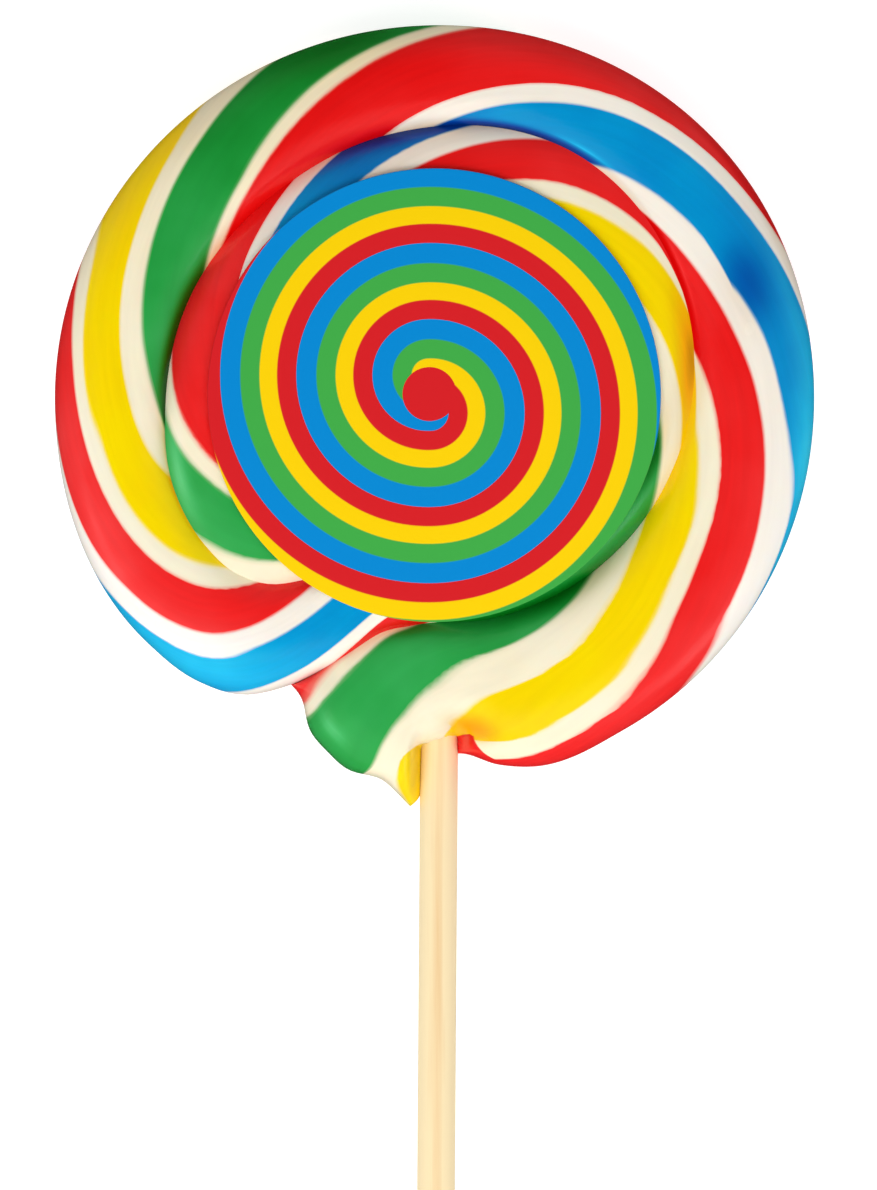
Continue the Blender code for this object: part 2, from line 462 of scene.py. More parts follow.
@dataclass(frozen=True)
class Stripes:
    """How the coloured stripes wind along the rope.

    The edge between two stripes is a curve of knots, each the share across the rope and the coil angle. The
    first ones each have their own shape, because the rope was pulled and turned by hand at its tail. The rest
    are wound evenly.
    """

    pattern: tuple[tuple[Dye, float], ...] = (
        (Dye.RED, 0.235), (Dye.CREAM, 0.026), (Dye.GREEN, 0.110), (Dye.CREAM, 0.053), (Dye.YELLOW, 0.104),
        (Dye.CREAM, 0.036), (Dye.RED, 0.119), (Dye.MILK, 0.067), (Dye.BLUE, 0.194), (Dye.MILK, 0.056),
    )  # fmt: skip
    shaped: tuple[Knots, ...] = (
        ((0, 200), (0.8, 239), (0.875, 243), (0.98, 247), (1, 248.5)),
        ((0, 212), (0.7, 238), (0.8, 243), (0.85, 247), (0.9, 250.3), (0.95, 256.6), (1, 266)),
        ((0, 220), (0.33, 243), (0.36, 246), (0.42, 249.7), (0.5, 253.8), (0.6, 260), (0.7, 268), (0.76, 275),
         (0.8, 282.5), (0.84, 292.5), (0.9, 302), (1, 312.4)),
        ((0, 225), (0.2, 252), (0.26, 257), (0.325, 260.1), (0.38, 264), (0.46, 270.2), (0.51, 276),
         (0.55, 284), (0.58, 293.5), (0.63, 300.5), (0.7, 306), (0.8, 314.4), (0.9, 322), (1, 331)),
        ((0, 250), (0.1, 254), (0.165, 258), (0.18, 262), (0.187, 267), (0.2, 276), (0.25, 286),
         (0.285, 296), (0.32, 302), (0.4, 308), (0.5, 315.5), (0.6, 322.7), (0.7, 334.8), (0.8, 343),
         (0.88, 350), (0.95, 356), (1, 368)),
        ((0, 253), (0.035, 260), (0.055, 270), (0.1, 285), (0.13, 297), (0.2, 305), (0.3, 312), (0.4, 318),
         (0.5, 327.7), (0.63, 344), (0.8, 358), (0.95, 368), (1, 371)),
        ((0, 311), (0.07, 318), (0.15, 324), (0.2, 332), (0.3, 344.4), (0.5, 363), (0.7, 377), (0.85, 389),
         (1, 402.5)),
        ((0, 324), (0.02, 333), (0.05, 342.5), (0.09, 347), (0.14, 350.4), (0.25, 358.6), (0.4, 372),
         (0.53, 379.8), (0.585, 383), (0.615, 388), (0.73, 399.2), (0.86, 408.8), (1, 417)),
        ((0, 370), (0.083, 380), (0.18, 389.5), (0.39, 412.8), (0.5, 421.2), (0.66, 430.5), (0.84, 440.8),
         (1, 449.5)),
        ((0, 383), (0.075, 392.3), (0.27, 417.5), (0.375, 425.9), (0.58, 438), (0.78, 449.2), (1, 461)),
        ((0, 442), (0.18, 452.8), (0.5, 470.2), (0.87, 493.5), (1, 503)),
        ((0, 449), (0.13, 458), (0.54, 481.5), (0.72, 491.5), (1, 511)),
        ((0, 474.8), (0.19, 488), (0.68, 524), (1, 545)),
        ((0, 487.5), (0.16, 497.6), (0.475, 524), (0.62, 536), (0.8, 548), (1, 556.5)),
        ((0, 511), (0.083, 515.6), (0.34, 542), (0.41, 545.6), (0.53, 556.4), (0.69, 567.2), (1, 578.5)),
        ((0, 518.5), (0.125, 531.2), (0.28, 548), (0.57, 572), (0.77, 580.4), (1, 586)),
        ((0, 541), (0.033, 550.4), (0.2, 572), (0.39, 585.2), (0.5, 588.8), (1, 597.5)),
        ((0, 567), (0.12, 581), (0.23, 589.3), (0.4, 594), (0.53, 597.6), (1, 609)),
        ((0, 594), (0.14, 604.4), (0.33, 612.8), (1, 650)),
        ((0, 609), (0.17, 617), (1, 665)),
        ((0, 627), (1, 735)),
        ((0, 630), (1, 745)),
        ((0, 693), (0.2, 713.5), (1, 795)),
        ((0, 709), (0.2, 737.5), (1, 850)),
        ((0, 739), (0.02, 743), (0.05, 749), (0.085, 755), (0.15, 763), (0.275, 780), (1, 880)),
        ((0, 744), (0.015, 753), (0.04, 759.5), (0.076, 765.5), (0.25, 791), (1, 900)),
        ((0, 787), (0.21, 815), (1, 920)),
        ((0, 803), (0.175, 828), (1, 945)),
        ((0, 830.4), (0.16, 854.5), (1, 975)),
        ((0, 842.4), (0.17, 868), (1, 990)),
        ((0, 889), (0.02, 894), (0.055, 900), (0.12, 907), (0.2, 914.3), (0.24, 918), (1, 1020)),
        ((0, 903.5), (0.066, 911), (0.15, 919), (0.217, 926), (1, 1033)),
        ((0, 928.8), (0.133, 944.4), (1, 1060)),
        ((0, 962), (1, 1080)),
    )  # fmt: skip
    smears: tuple[Smear, Smear, Smear] = (
        Smear(  # over the outer third of the tail's end
            Dye.CREAM,
            ((0, 236), (0.5, 236)),
            ((0, 250.5), (0.1, 252), (0.16, 252.4), (0.2, 254), (0.23, 255.5), (0.26, 256.6), (0.3, 255),
             (0.34, 238), (0.5, 230)),
        ),
        Smear(  # a lens on the tail's lower corner
            Dye.YELLOW,
            ((0, 242.9), (0.08, 243.2), (0.15, 243.7), (0.19, 244.3), (0.215, 245.2), (0.25, 247.5)),
            ((0, 248.5), (0.1, 248.5), (0.15, 248.2), (0.175, 247.5), (0.2, 246.2), (0.215, 245.5),
             (0.25, 243)),
        ),
        Smear(  # beside the stick, on the rim
            Dye.RED,
            ((0, 250), (0.1, 252), (0.16, 255), (0.18, 256.8), (0.195, 258), (0.21, 259.5), (0.225, 261.3),
             (0.25, 266)),
            ((0, 266), (0.03, 264.5), (0.05, 262.3), (0.07, 261), (0.1, 260.3), (0.15, 260.3), (0.19, 260.8),
             (0.21, 261.3), (0.23, 261.6), (0.25, 261)),
        ),
    )  # fmt: skip
    painted_shading: tuple[PaintedShading, ...] = (
        # painted shading over the outer turn: darker at its top, where less light falls and the green is also
        # dyed deeper, and paler to its left and lower left, where the light comes from
        PaintedShading(478, 0.2, 32, 0.7, 0.3), PaintedShading(466, 0.08, 12, 0.25, 0.5), PaintedShading(560, 0.15, 30, 0.35, -0.15),
        PaintedShading(588, 0.15, 16, 0.4, -0.3),
        # the outer turn's right side: painted shade in a dent in the blue and on the upper rim, and painted
        # highlight along the rim
        PaintedShading(381, 0.42, 6, 0.18, 0.85), PaintedShading(389, 0.03, 12, 0.05, 0.9), PaintedShading(365, 0.05, 30, 0.12, -0.25),
        PaintedShading(345, 0.0, 20, 0.1, -0.3),
        # the inner turn: painted shade on its blue and beside the label, painted light on its red and a
        # painted glint on its green
        PaintedShading(822, 0.1, 24, 0.4, 0.35), PaintedShading(880, 0.1, 26, 0.3, -0.1), PaintedShading(915, 0.04, 9, 0.035, -0.4),
        PaintedShading(708, 0.17, 10, 0.05, 1.0),
        # the tail's end, with painted shade on its wall and a painted glint, and painted shade in the pit of
        # the fold over the stick
        PaintedShading(243.5, 0.6, 2.0, 0.35, 0.1), PaintedShading(244.7, 0.66, 0.5, 0.12, -0.3),
        PaintedShading(263.2, 0.27, 5.5, 0.08, 1.6),
        # the outer turn's side of the seam: painted shade in the crease, and painted highlights where its lip
        # stands up
        PaintedShading(260, 1.0, 9, 0.06, 0.7), PaintedShading(304, 1.0, 14, 0.08, 0.8), PaintedShading(365, 1.0, 22, 0.08, 0.7),
        PaintedShading(390, 1.0, 14, 0.03, 0.8), PaintedShading(434, 1.0, 26, 0.045, 3.0), PaintedShading(526, 1.0, 22, 0.05, 2.2),
        PaintedShading(552, 1.0, 16, 0.02, 1.5), PaintedShading(384, 0.94, 14, 0.02, -0.35), PaintedShading(419, 0.92, 6, 0.02, -0.5),
        # the inner turn's side of the seam: painted shade in the crease and under the label's edge
        PaintedShading(655, 0.0, 35, 0.08, 0.9), PaintedShading(729, 0.02, 12, 0.07, 2.3), PaintedShading(816, 0.0, 18, 0.05, 2.0),
    )  # fmt: skip
    period: float = 232.0  # degrees of coil in one full twist of the rope, where it is wound evenly
    crossing: float = 128.0  # degrees by which an even stripe advances as it crosses the top
    under_crossing: float = 130.0  # the same for the underside
    wall_slant: float = 13.0  # degrees of coil by which a stripe slants as it runs down the rim to the floor
    least_width: float = 0.2  # degrees
    lead: float = 0.25  # share of a twist that the first stripe takes up before its edge
    palest: float = 0.3  # the least depth of the dye, to which painted highlights can pale it

    def edges(self, coil_end: float) -> list[Knots]:
        """Lists the edges of all stripes.

        Args:
            coil_end: The coil angle where the rope ends.

        Returns:
            The edges in order. The first one ends a wide red stripe.
        """
        found = list(self.shaped)
        start = found[-1][0][1]
        while start < coil_end:
            start += self.period * self.pattern[len(found) % len(self.pattern)][1]
            found.append(((0.0, start), (1.0, start + self.crossing)))
        return found

    def phase(self, coil: np.ndarray, across: np.ndarray, coil_end: float) -> np.ndarray:
        """Finds the place in the pattern of points on the rope's top.

        Args:
            coil: Their coil angles.
            across: Their shares across the rope.
            coil_end: The coil angle where the rope ends.

        Returns:
            Repeats of the pattern, from the start of the first wide red stripe.
        """
        phase = np.zeros_like(coil)
        before = np.full_like(coil, self.shaped[0][0][1] - self.lead * self.period)
        for number, edge in enumerate(self.edges(coil_end)):
            after = np.maximum(smooth_through(edge, across), before + self.least_width)
            share = self.pattern[number % len(self.pattern)][1]
            phase += share * np.clip((coil - before) / (after - before), 0.0, 1.0)
            before = after
        return phase

    def depth(self, coil: np.ndarray, across: np.ndarray) -> np.ndarray:
        """How deep the dye looks at points on the rope's top, as a share of its usual depth: painted shade
        makes it deeper and painted highlights make it paler.
        """
        return np.maximum(1.0 + sum(shade.at(coil, across) for shade in self.painted_shading), self.palest)


@dataclass(frozen=True)
class HardCandy:
    """Pulled sugar in stripes: glossy, faintly streaked along each stripe, with edges that bleed, and with
    painted shade and painted highlights from the depth map.

    Widths and places across the stripes are shares of their pattern.
    """

    stripes: Stripes
    bleed: float = 0.0025  # width of the soft line between two stripes
    stain: float = 0.45  # how far a neighbour's dye tints the cream beside it
    stain_width: float = 0.0045
    widest_stain: float = 0.4  # share of a cream stripe
    streaks: float = 46.0  # across the pattern
    streak_length: float = 4.0
    streak_detail: float = 3.0
    streak_relief: float = 0.12 * MM
    clouds: float = 90.0  # to a metre
    cloud_push: float = 0.006  # how far a cloud pushes the stripes aside
    cloud_depth: float = 0.5  # how much a cloud changes the dye's depth
    deepest: float = 2.6  # the depth of dye from which on its colour only darkens, as painted shade
    value: float = 0.92
    streak_value: float = 0.16
    first_dimming: float = 0.25  # painted shade: dimming for each unit of depth over the usual one
    first_dimmed: float = 0.3  # units
    last_dimming: float = 0.4  # painted shade: dimming for each unit of depth over the deepest
    roughness: float = 0.24
    cloud_roughness: float = 0.15
    scatter_share: float = 0.25
    scatter_colour: Colour = (1.0, 0.6, 0.4)
    scatter: float = 1.2 * MM
    gloss: float = 0.3

    def stops(self) -> list[tuple[float, Colour]]:
        """Lists the stops of the ramp of stripes.

        Returns:
            Places and colours: two for a dyed stripe, and four for a pale one, which its neighbours stain.
        """
        pattern = self.stripes.pattern
        found, start = [], 0.0
        for number, (dye, share) in enumerate(pattern):
            low, high = start + self.bleed / 2.0, start + share - self.bleed / 2.0
            if dye.pale:
                previous, following = pattern[number - 1][0], pattern[(number + 1) % len(pattern)][0]
                inset = min(self.stain_width, (high - low) * self.widest_stain)
                found.append((low, between(dye.linear, previous.linear, self.stain)))
                found.extend(((low + inset, dye.linear), (high - inset, dye.linear)))
                found.append((high, between(dye.linear, following.linear, self.stain)))
            else:
                found.extend(((low, dye.linear), (high, dye.linear)))
            start += share
        return found

    def make(self) -> bpy.types.Material:
        """Makes the material, which reads the piece's stripe map and its attributes.

        Returns:
            The material.
        """
        paint = Paint("sugar")
        phase, along, _ = paint.split(paint.add("ShaderNodeUVMap", uv_map="stripes").outputs["UV"])
        streaked = paint.join(phase * self.streaks, along * self.streak_length)
        streak = paint.noise(streaked, 1.0, self.streak_detail)
        cloud = paint.noise(paint.place(), self.clouds) - 0.5
        colour = paint.ramp((phase + cloud * self.cloud_push).math("FRACT"), self.stops())
        covers = paint.split(paint.attribute("smears", "Vector"))
        for smear, cover in zip(self.stripes.smears, covers):
            share = (cover / smear.soft_edge + 0.5).clamped()
            colour = paint.mix(share, colour, (*smear.dye.linear, 1.0))
        # The depth map holds painted shade and painted highlights, with random clouds on top: a deeper,
        # dimmer colour in creases and where less light falls, and a paler one at glints.
        depth = paint.attribute("depth")
        gamma = depth.math("MINIMUM", self.deepest) + cloud * self.cloud_depth
        deepened_and_shaded = paint.field("ShaderNodeGamma", {"Color": colour, "Gamma": gamma})
        dimmed = (depth - 1.0).math("MINIMUM", self.first_dimmed) * self.first_dimming
        dimmed = dimmed + (depth - self.deepest).math("MAXIMUM", 0.0) * self.last_dimming
        value = self.value + streak * self.streak_value - dimmed
        toned = paint.field("ShaderNodeHueSaturation", {"Color": deepened_and_shaded, "Value": value})
        paint.drive(Base_Color=toned, Roughness=self.roughness + cloud * self.cloud_roughness)
        paint.bump(streak, self.streak_relief)
        paint.drive(Subsurface_Weight=self.scatter_share, Subsurface_Radius=self.scatter_colour)
        paint.drive(Subsurface_Scale=self.scatter, Specular_IOR_Level=self.gloss)
        return paint.material


@dataclass(frozen=True)
class Birch:
    """Pale turned birch, with fine grain along Y, painted paler at its sides and darker along its crest."""

    pale: Colour = linear((253, 231, 184))
    dark: Colour = linear((242, 206, 152))
    # How fine the noise is across the stick and along it, to a metre, and its detail.
    grain: tuple[float, float, float] = (1800.0, 45.0, 4.0)
    bands: tuple[float, float, float] = (380.0, 9.0, 1.0)
    tones: tuple[float, float] = (0.35, 0.65)  # where the tone is darkest and palest
    flank_painted_light: float = 0.6  # painted light: how much paler the stick's sides are than its crest
    # painted shade, which darkens the stick most along its crest
    crest_painted_shade: float = -0.07
    roughness: float = 0.5
    grain_roughness: float = 0.2
    relief: float = 0.08 * MM

    def make(self) -> bpy.types.Material:
        """Makes the material, which reads Object coordinates and how far aside a point is.

        Returns:
            The material.
        """
        paint = Paint("birch")
        x, y, z = paint.split(paint.place())

        def fibres(across: float, along: float, detail: float) -> Field:
            """Noise drawn out along the stick."""
            return paint.noise(paint.join(x * across, y * along, z * across), 1.0, detail)

        grain, band = fibres(*self.grain), fibres(*self.bands)
        # painted light pales the stick's sides and painted shade darkens its crest
        tone = grain * 0.5 + band * 0.5 + paint.attribute("flank") * self.flank_painted_light + self.crest_painted_shade
        colour = paint.ramp(tone, list(zip(self.tones, (self.dark, self.pale))))
        paint.drive(Base_Color=colour, Roughness=self.roughness + grain * self.grain_roughness)
        paint.bump(grain, self.relief)
        return paint.material


@dataclass(frozen=True)
class SwirlPrint:
    """A satin print of bands that spiral to the middle, where a round hub ends them.

    The spiral is drawn with half circles about two centres, which stand a quarter of its pitch to either side
    of its middle, so that each band runs on smoothly where the halves meet.
    """

    bands: tuple[tuple[Ink, float], ...] = (
        (Ink.BLUE, 0.264), (Ink.GREEN, 0.254), (Ink.YELLOW, 0.230), (Ink.RED, 0.252),
    )  # fmt: skip
    pitch: float = 9.03 * MM
    middle: tuple[float, float] = (-0.65 * MM, 0.83 * MM)
    tilt: float = math.radians(93.8)
    first_band: float = 24.69 * MM  # where a blue band begins, on the left half
    hub: float = 3.2 * MM
    ink_edge: float = 0.007  # half the width of the soft line between two inks, as a share of the pitch
    fibres: float = 1500.0  # to a metre
    roughness: float = 0.38
    fibre_roughness: float = 0.12
    relief: float = 0.03 * MM
    relief_strength: float = 0.1
    gloss: float = 0.12

    def make(self) -> bpy.types.Material:
        """Makes the material, which reads Object coordinates.

        Returns:
            The material.
        """
        paint = Paint("card")
        place = paint.place()
        turned = {"Vector": place, "Location": (*self.middle, 0.0), "Rotation": (0.0, 0.0, self.tilt)}
        x, y, _ = paint.split(paint.field("ShaderNodeMapping", turned, vector_type="TEXTURE"))
        offset = self.pitch / 4.0
        left = y.math("GREATER_THAN", 0.0)
        radius = ((x - (left * 2.0 - 1.0) * offset).squared() + y.squared()) ** 0.5
        start = left * (2.0 * offset) + (self.first_band - 2.0 * offset)
        stops, edge = [], 0.0
        for ink, share in self.bands:
            stops.extend(((edge + self.ink_edge, ink.linear), (edge + share - self.ink_edge, ink.linear)))
            edge += share
        colour = paint.ramp(((start - radius) / self.pitch).math("FRACT"), stops)
        from_middle = (x.squared() + y.squared()) ** 0.5
        colour = paint.mix(from_middle.math("LESS_THAN", self.hub), colour, (*Ink.RED.linear, 1.0))
        fibre = paint.noise(place, self.fibres)
        paint.drive(Base_Color=colour, Roughness=self.roughness + fibre * self.fibre_roughness)
        paint.bump(fibre, self.relief, self.relief_strength)
        paint.drive(Specular_IOR_Level=self.gloss)
        return paint.material


@dataclass(frozen=True)
class CardEdge:
    """The cut edge and the back of the label's card."""

    fibres: float = 2500.0  # to a metre
    dark: Colour = linear((226, 220, 205))
    tones: tuple[float, float] = (0.3, 0.7)  # where the tone is darkest and palest
    roughness: float = 0.7
    fibre_roughness: float = 0.2

    def make(self) -> bpy.types.Material:
        """Makes the material, which reads Object coordinates.

        Returns:
            The material.
        """
        paint = Paint("card_edge")
        fibre = paint.noise(paint.place(), self.fibres)
        colour = paint.ramp(fibre, list(zip(self.tones, (self.dark, Ink.PAPER.linear))))
        paint.drive(Base_Color=colour, Roughness=self.roughness + fibre * self.fibre_roughness)
        return paint.material


@dataclass
class SwirlCandy:
    """The candy: a twisted rope coiled flat, each turn fused to the last, and folded down over the stick."""

    finish: HardCandy
    stick_radius: float
    crest: float  # height of the rope's top
    waist: float = 5.8 * MM  # height of the rim's widest point
    tail_start: float = 243.0
    coil_end: float = 1431.0
    edge: Knots = (
        (266.5, 48.3), (267.6, 47.3), (269.0, 44.6), (271.0, 42.4), (274.0, 42.0), (280.0, 43.9),
        (285.0, 45.0), (300.0, 45.1), (360.0, 45.2), (400.0, 45.7), (450.0, 44.9), (540.0, 45.3),
        (580.0, 44.7), (590.0, 43.6), (597.0, 41.6), (603.0, 37.8), (610.0, 32.4), (616.0, 28.6),
        (624.0, 26.8), (645.0, 26.7), (670.0, 27.5), (700.0, 29.1), (740.0, 31.9), (780.0, 33.8),
        (820.0, 32.2), (845.0, 31.2), (880.0, 31.7), (900.0, 32.0), (918.0, 32.7), (932.0, 32.2),
        (941.0, 31.2), (948.0, 29.2), (955.0, 25.6), (965.0, 21.0), (978.0, 18.5), (1000.0, 17.4),
        (1431.0, 0.0),
    )  # fmt: skip
    tail_skew: float = 23.5  # degrees by which the tail's oblique end leans from a radius
    tail_skew_end: float = 300.0  # the coil angle where the lean has gone
    tail_rounding: float = 4.5  # degrees of coil over which the tail's end rounds off
    tail_wall: float = 3.5  # degrees of coil that the wall of its end takes up
    tail_bulge: float = 2.5 * MM  # how far its end swells sideways
    tail_bulge_at: float = 0.57  # share across the rope
    tail_bulge_spread: float = 0.27
    tail_bulge_fade: float = 9.0  # degrees of coil
    tail_direction: float = math.radians(225.0)  # the way it swells
    bulge_limit: float = 20.0  # how close to the rope's edges the swelling reaches
    # How full the rope's rounded sides are: 2 is an ellipse, and more is squarer.
    end_shoulder: float = 2.4
    shoulder_top: float = 2.6
    shoulder_under: float = 7.0
    seam_shoulder_top: float = 5.0
    seam_shoulder_under: float = 8.0
    slab_cut: float = 1.03  # how far the underside would sink below the slab that flattens it
    # How high the seam is, as a share of the way from waist to top, by the inner turn's coil angle.
    crease_top: Knots = (
        (603, 0.85), (640, 0.62), (690, 0.6), (720, 0.85), (780, 0.85), (810, 0.65), (850, 0.62), (890, 0.62),
        (915, 0.75), (963, 0.75), (1431, 0.7),
    )  # fmt: skip
    crease_under: float = 0.80
    crease_run_in: float = 7.0  # degrees of coil over which a turn fuses to the one outside it
    crease_fade: tuple[float, float] = (270.0, 110.0)  # degrees before the rope's end where the creases fade
    lip_x: float = 0.5 * MM  # the stick's middle where it enters
    lip_y: float = -40.3 * MM
    lip_slant: float = 0.27
    lip_rounding: float = 5.5 * MM
    stick_lean: float = math.radians(0.4)
    stick_tip: float = 8.0 * MM
    groove_half_width: float = 3.0 * MM
    fold: tuple[float, float] = (3.6 * MM, -39.2 * MM)  # the deepest point of the fold over the stick
    fold_spread: float = 2.3 * MM
    fold_depth: float = 1.8 * MM
    hole_play: float = 0.02 * MM  # round the stick
    hole_spare: float = 0.1 * MM  # past its tip
    hole_length: float = 100.0 * MM  # well past the rim
    hole_sides: int = 64
    rows: int = 44
    fine_step: float = 0.25  # degrees of coil between sections where a turn begins
    step_growth: float = 1.08
    step: float = 1.4  # degrees of coil between sections elsewhere
    weld: float = 0.0002 * MM
    end_wedge: float = 12.0  # degrees of coil that one wedge spans where the rope runs out at the middle
    sharp: float = math.radians(50.0)  # the angle from which an edge looks sharp

    def section_angles(self) -> tuple[np.ndarray, int]:
        """Works out where along the coil the sections lie, with fine steps where each turn begins.

        Returns:
            Their coil angles, and how many make one turn. Every turn has the same ones, so that neighbouring
            turns share a seam.
        """
        count = math.ceil(math.log(self.step / self.fine_step) / math.log(self.step_growth))
        growing = self.fine_step * self.step_growth ** np.arange(count)
        steady = round((TURN - growing.sum()) / self.step)
        steps = np.concatenate(([0.0], growing, np.full(steady, (TURN - growing.sum()) / steady)))
        within = np.cumsum(steps)[:-1]
        turns = math.ceil((self.coil_end - self.tail_start) / TURN)
        angles = (self.tail_start + TURN * np.arange(turns)[:, None] + within).ravel()
        return np.append(angles[angles < self.coil_end - self.end_wedge], self.coil_end), len(within)

    def rail(self) -> tuple[bpy.types.Object, int]:
        """Lays the line of the rope's outer edge, with what the rope does at each of its points.

        Returns:
            The rail as an object, and how many of its points make one turn.
        """
        angles, per_turn = self.section_angles()
        skewed = angles + self.tail_skew * (1.0 - ease(self.tail_start, self.tail_skew_end, angles))
        radius = smooth_through(self.edge, skewed) * MM
        turned = np.radians(skewed)
        places = np.stack((radius * np.cos(turned), radius * np.sin(turned), 0.0 * turned), axis=1)
        mesh = bpy.data.meshes.new("rail")
        mesh.from_pydata(places.tolist(), [], [])
        notch = self.tail_start + TURN
        fused = ease(notch, notch + self.crease_run_in, angles)
        kept = ease(self.crease_fade[1], self.crease_fade[0], self.coil_end - angles)
        rounding = np.clip((angles - self.tail_start) / self.tail_rounding, 0.0, 1.0)
        values = {
            "coil": angles,
            "fused": fused,
            "Top seam": fused * (1.0 - (1.0 - smooth_through(self.crease_top, angles)) * kept),
            "Under seam": fused * (1.0 - (1.0 - self.crease_under) * kept),
            "fullness": (1.0 - (1.0 - rounding) ** self.end_shoulder) ** (1.0 / self.end_shoulder),
            "swell": self.tail_bulge * np.exp(-(angles - self.tail_start) / self.tail_bulge_fade),
        }
        for name, numbers in values.items():
            mesh.attributes.new(name, "FLOAT", "POINT").data.foreach_set("value", numbers.astype(np.float32))
        return put("rail", mesh), per_turn

    def settings(self, per_turn: int) -> dict[str, tuple[str, Value]]:
        """Lists the inputs of the rope's tree.

        Args:
            per_turn: Sections in one turn.

        Returns:
            Each input's type and value, by its name.
        """
        numbers = {
            "Crest height": self.crest,
            "Waist height": self.waist,
            "Top shoulder": self.shoulder_top,
            "Under shoulder": self.shoulder_under,
            "Top seam shoulder": self.seam_shoulder_top,
            "Under seam shoulder": self.seam_shoulder_under,
            "Slab cut": self.slab_cut,
            "Bulge place": self.tail_bulge_at,
            "Bulge spread": self.tail_bulge_spread,
            "Lip rounding": self.lip_rounding,
            "Groove half width": self.groove_half_width,
            "Fold spread": self.fold_spread,
            "Fold depth": self.fold_depth,
            "Hole radius": self.stick_radius + self.hole_play,
            "Weld distance": self.weld,
        }
        return {
            "Sections in a turn": ("NodeSocketInt", per_turn),
            "Rows": ("NodeSocketInt", self.rows),
            **{name: ("NodeSocketFloat", number) for name, number in numbers.items()},
            "Sugar": ("NodeSocketMaterial", self.finish.make()),
        }

    def sheet(self, tree: Tree, given: dict[str, Field], side: str) -> Field:
        """Adds the nodes of the rope's top or underside.

        Args:
            tree: The tree to add them to.
            given: The tree's inputs.
            side: Top or Under.

        Returns:
            The sheet as a mesh, which holds its coil angles and its shares across the rope.
        """
        rail, rows = given["Rail"], given["Rows"]
        size = tree.add("GeometryNodeAttributeDomainSize", {"Geometry": rail})
        counts = {"Vertices X": size.outputs["Point Count"], "Vertices Y": rows + 1.0}
        grid = tree.field("GeometryNodeMeshGrid", counts)
        index = tree.field("GeometryNodeInputIndex")
        column = ((index + 0.5) / (rows + 1.0)).math("FLOOR")
        inside = column + given["Sections in a turn"]
        across = 0.5 - ((index - column * (rows + 1.0)) / rows * math.pi).math("COSINE") * 0.5

        def at(value: Field, point: Field) -> Field:
            """What the rail has at one of its points."""
            inputs = {"Geometry": rail, "Value": value, "Index": point}
            return tree.field("GeometryNodeSampleIndex", inputs, data_type="FLOAT", clamp=True)

        def over(value: Field, share: Field) -> Field:
            """What the rail has at a share of the way from the rope's outer edge to its inner one."""
            return at(value, column).towards(at(value, inside), share)

        def named(name: str) -> Field:
            """One of the rail's attributes."""
            return tree.field("GeometryNodeInputNamedAttribute", {"Name": name}, data_type="FLOAT")

        rail_x, rail_y, _ = tree.split(tree.field("GeometryNodeInputPosition"))
        off_middle = (across * 2.0 - 1.0).math("ABSOLUTE")
        apart = ((across - given["Bulge place"]) / given["Bulge spread"]).squared().squared()
        swell = at(named("swell"), column) * (apart * -1.0).math("EXPONENT")
        swell = swell * (1.0 - off_middle**self.bulge_limit)
        x = over(rail_x, across) + swell * math.cos(self.tail_direction)
        y = over(rail_y, across) + swell * math.sin(self.tail_direction)
        shoulder = given[f"{side} shoulder"]
        rim_arch = (1.0 - off_middle**shoulder).math("MAXIMUM", 0.0) ** (1.0 / shoulder)
        seam_arch = 1.0 - off_middle ** given[f"{side} seam shoulder"]
        inner_half = across.math("GREATER_THAN", 0.5)
        arch = rim_arch.towards(seam_arch, over(named("fused"), inner_half))
        floor = over(named(f"{side} seam"), across)
        profile = floor + (1.0 - floor) * arch * at(named("fullness"), column)
        waist = given["Waist height"]
        if side == "Under":
            z = (waist - waist * profile * given["Slab cut"]).math("MAXIMUM", 0.0)
        else:
            z = self.folded(given, x, y, waist + (given["Crest height"] - waist) * profile)
        made = tree.field("GeometryNodeSetPosition", {"Geometry": grid, "Position": tree.join(x, y, z)})
        for name, value, kind, domain in (
            ("coil", at(named("coil"), column), "FLOAT", "POINT"),
            ("across", across, "FLOAT", "POINT"),
            ("rope", tree.join(named("coil"), named("across")), "FLOAT2", "CORNER"),
            ("under", float(side == "Under"), "FLOAT", "FACE"),
        ):
            inputs = {"Geometry": made, "Name": name, "Value": value}
            made = tree.field("GeometryNodeStoreNamedAttribute", inputs, data_type=kind, domain=domain)
        return tree.field("GeometryNodeFlipFaces", {"Mesh": made}) if side == "Under" else made

    def folded(self, given: dict[str, Field], x: Field, y: Field, z: Field) -> Field:
        """Lowers the top where it folds down over the stick.

        Args:
            given: The tree's inputs.
            x: The points' places along X.
            y: The points' places along Y.
            z: Their heights.

        Returns:
            Their new heights.
        """
        waist, rise = given["Waist height"], given["Crest height"] - given["Waist height"]
        aside = x - self.lip_x - math.tan(self.stick_lean) * (y - self.lip_y)
        inward = ((y - self.lip_y - self.lip_slant * aside) / given["Lip rounding"]).clamped()
        lip = waist + rise * (1.0 - (1.0 - inward) ** self.end_shoulder) ** (1.0 / self.end_shoulder)
        near = (aside / given["Groove half width"]).squared()
        held = (near * near * near * -1.0).math("EXPONENT") * y.math("LESS_THAN", 0.0)
        z = z + (z.math("MINIMUM", lip) - z) * held
        away = ((x - self.fold[0]).squared() + (y - self.fold[1]).squared()) / given["Fold spread"].squared()
        return waist + (z - waist) * (1.0 - (away * -1.0).math("EXPONENT") * given["Fold depth"] / rise)

